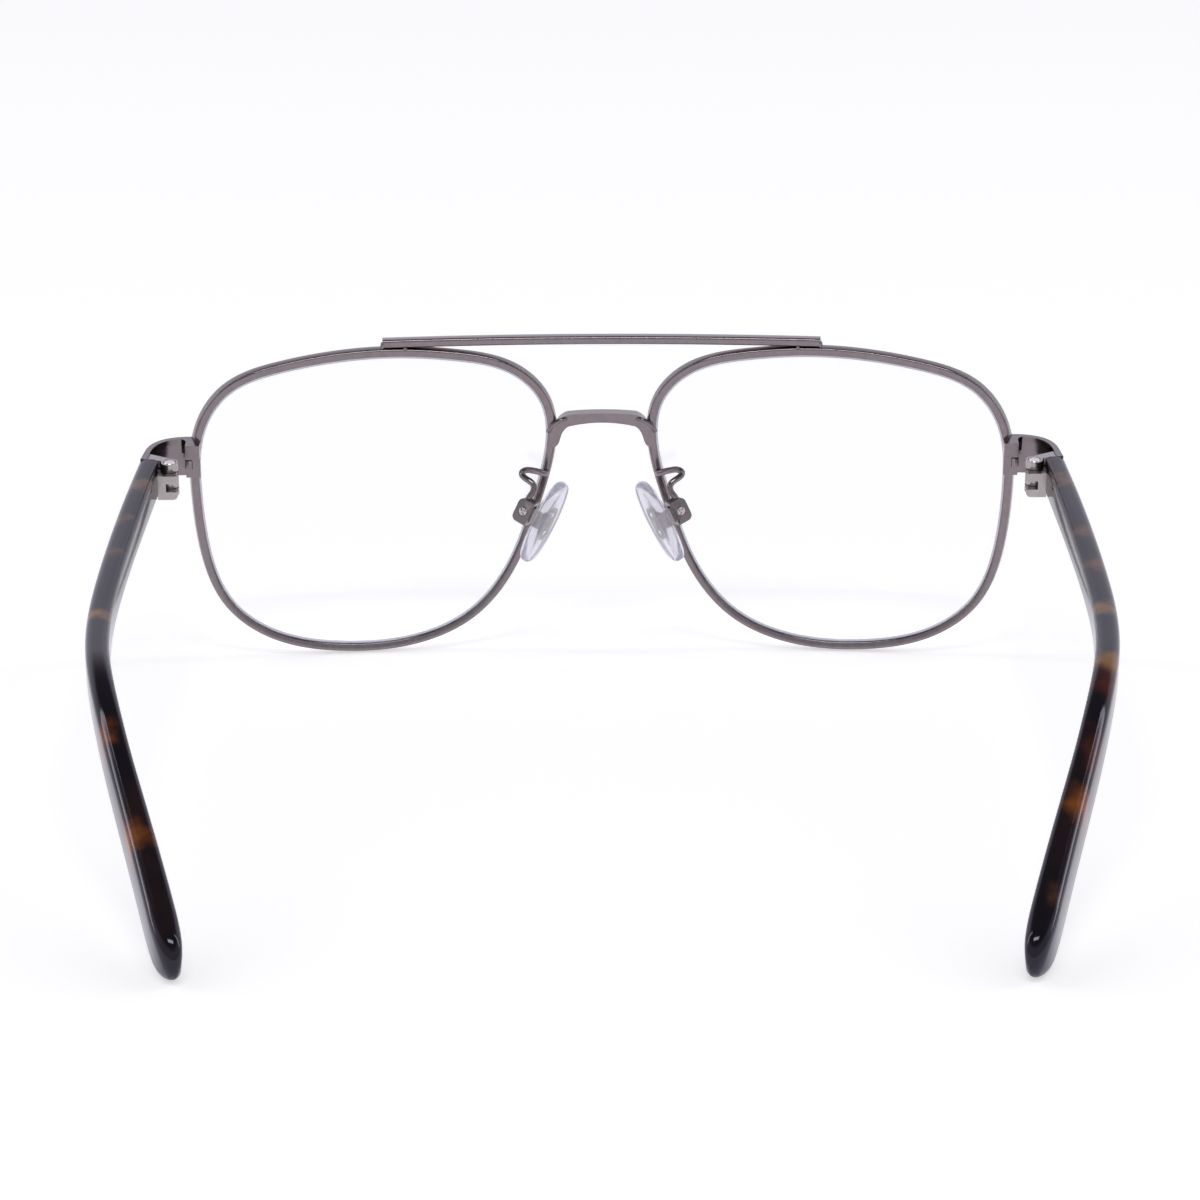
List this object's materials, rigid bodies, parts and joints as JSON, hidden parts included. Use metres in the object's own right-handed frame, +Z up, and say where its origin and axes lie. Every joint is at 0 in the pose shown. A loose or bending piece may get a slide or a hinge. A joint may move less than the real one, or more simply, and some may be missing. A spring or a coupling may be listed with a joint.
{
  "type": "double bridge glasses",
  "caption": "Double bridge glasses with round-cornered metal rims, clear lenses, screwed nose pads and folding tortoise temples.",
  "frame": {"origin": "middle of the footprint of the open glasses on a flat table, at table height", "axes": "+Z up, +Y forward out through the lenses as the wearer looks, +X to the wearer's right"},
  "size_m": [0.1516, 0.1352, 0.052],
  "materials": {
    "front_metal": "gunmetal plating with a brown cast, satin",
    "hinge_metal": "plain nickel silver",
    "bright_screw": "plain turned steel",
    "core_steel": "drawn wire",
    "clear_lens": "clear plastic lens with plano power",
    "clear_silicone": "clear silicone",
    "tortoise_acetate": "polished dark tortoise cellulose acetate"
  },
  "bodies": {
    "front": {"top_bar": "front_metal", "bridge": "front_metal", "right_rim": "front_metal", "right_lens": "clear_lens", "right_endpiece": "front_metal", "right_closing_block": "front_metal", "right_closing_screw": "bright_screw", "right_front_hinge": "hinge_metal", "right_hinge_screw": "bright_screw", "right_pad_box": "front_metal", "right_pad_screw": "bright_screw", "right_pad_arm": "front_metal", "left_rim": "front_metal", "left_lens": "clear_lens", "left_endpiece": "front_metal", "left_closing_block": "front_metal", "left_closing_screw": "bright_screw", "left_front_hinge": "hinge_metal", "left_hinge_screw": "bright_screw", "left_pad_box": "front_metal", "left_pad_screw": "bright_screw", "left_pad_arm": "front_metal"},
    "right_arm": {"right_temple": "tortoise_acetate", "right_core_wire": "core_steel", "right_temple_hinge": "hinge_metal"},
    "left_arm": {"left_temple": "tortoise_acetate", "left_core_wire": "core_steel", "left_temple_hinge": "hinge_metal"},
    "right_pad": {"right_nose_pad": "clear_silicone", "right_pad_core": "hinge_metal"},
    "left_pad": {"left_nose_pad": "clear_silicone", "left_pad_core": "hinge_metal"}
  },
  "joints": [
    {"name": "right_temple_fold", "type": "hinge", "parent": "front", "child": "right_arm", "pos_m": [0.06826, 0.05254, 0.0331], "axis": [0, -0.0872, 0.9962], "range_deg": [-80, 0]},
    {"name": "left_temple_fold", "type": "hinge", "parent": "front", "child": "left_arm", "pos_m": [-0.06826, 0.05254, 0.0331], "axis": [0, -0.0872, 0.9962], "range_deg": [0, 86.5]},
    {"name": "right_pad_rock", "type": "hinge", "parent": "front", "child": "right_pad", "pos_m": [0.0123, 0.05824, 0.02551], "axis": [0.3554, -0.9206, 0.162], "range_deg": [-8, 8]},
    {"name": "left_pad_rock", "type": "hinge", "parent": "front", "child": "left_pad", "pos_m": [-0.0123, 0.05824, 0.02551], "axis": [-0.3554, -0.9206, 0.162], "range_deg": [-8, 8]}
  ]
}
